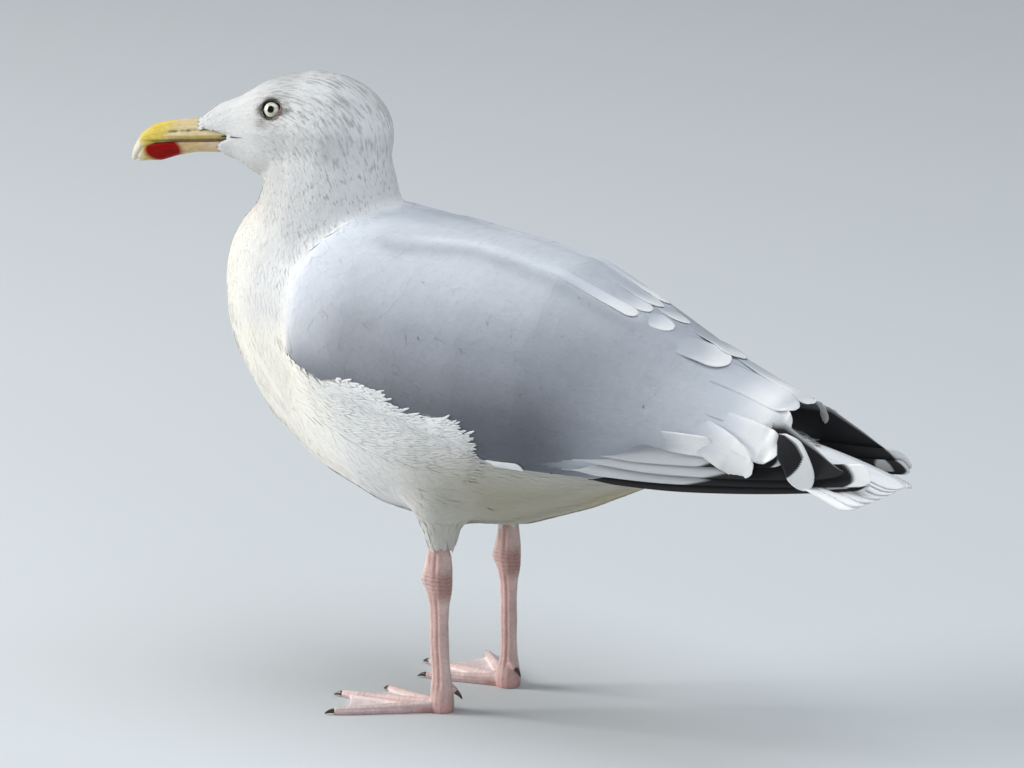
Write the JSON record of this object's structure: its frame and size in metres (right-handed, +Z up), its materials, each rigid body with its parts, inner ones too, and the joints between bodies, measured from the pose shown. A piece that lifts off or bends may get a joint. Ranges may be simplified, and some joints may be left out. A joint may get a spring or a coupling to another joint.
{
  "type": "standing herring gull",
  "caption": "Life-size still model of an adult herring gull in winter plumage, standing at rest on webbed feet.",
  "frame": {"origin": "on the floor under the middle of the bird's length and width", "axes": "+X from the bill towards the tail, along the bird's length; +Y towards the bird's right side; +Z up"},
  "size_m": [0.4692, 0.1452, 0.3263],
  "materials": {
    "plumage_white": "soft matt white feathers",
    "plumage_grey": "smooth matt blue-grey feathers",
    "plumage_black": "black flight feathers, white spots",
    "bill": "satin yellow horn, red spot",
    "leg_skin": "flesh-pink scaly skin",
    "claw": "dark satin horn",
    "iris": "wet pale cream eye"
  },
  "bodies": {
    "root": {"head": "plumage_white", "neck": "plumage_white", "trunk": "plumage_white", "mantle": "plumage_grey", "tail": "plumage_white", "bill_upper": "bill", "bill_lower": "bill", "eye_left": "iris", "eye_right": "iris", "wing_left": "plumage_grey", "tertials_left": "plumage_grey", "primaries_left": "plumage_black", "thigh_left": "plumage_white", "shin_left": "leg_skin", "tarsus_left": "leg_skin", "foot_left": "leg_skin", "hind_toe_left": "leg_skin", "claw_inner_left": "claw", "claw_middle_left": "claw", "claw_outer_left": "claw", "claw_hind_left": "claw", "wing_right": "plumage_grey", "tertials_right": "plumage_grey", "primaries_right": "plumage_black", "thigh_right": "plumage_white", "shin_right": "leg_skin", "tarsus_right": "leg_skin", "foot_right": "leg_skin", "hind_toe_right": "leg_skin", "claw_inner_right": "claw", "claw_middle_right": "claw", "claw_outer_right": "claw", "claw_hind_right": "claw"}
  },
  "joints": []
}
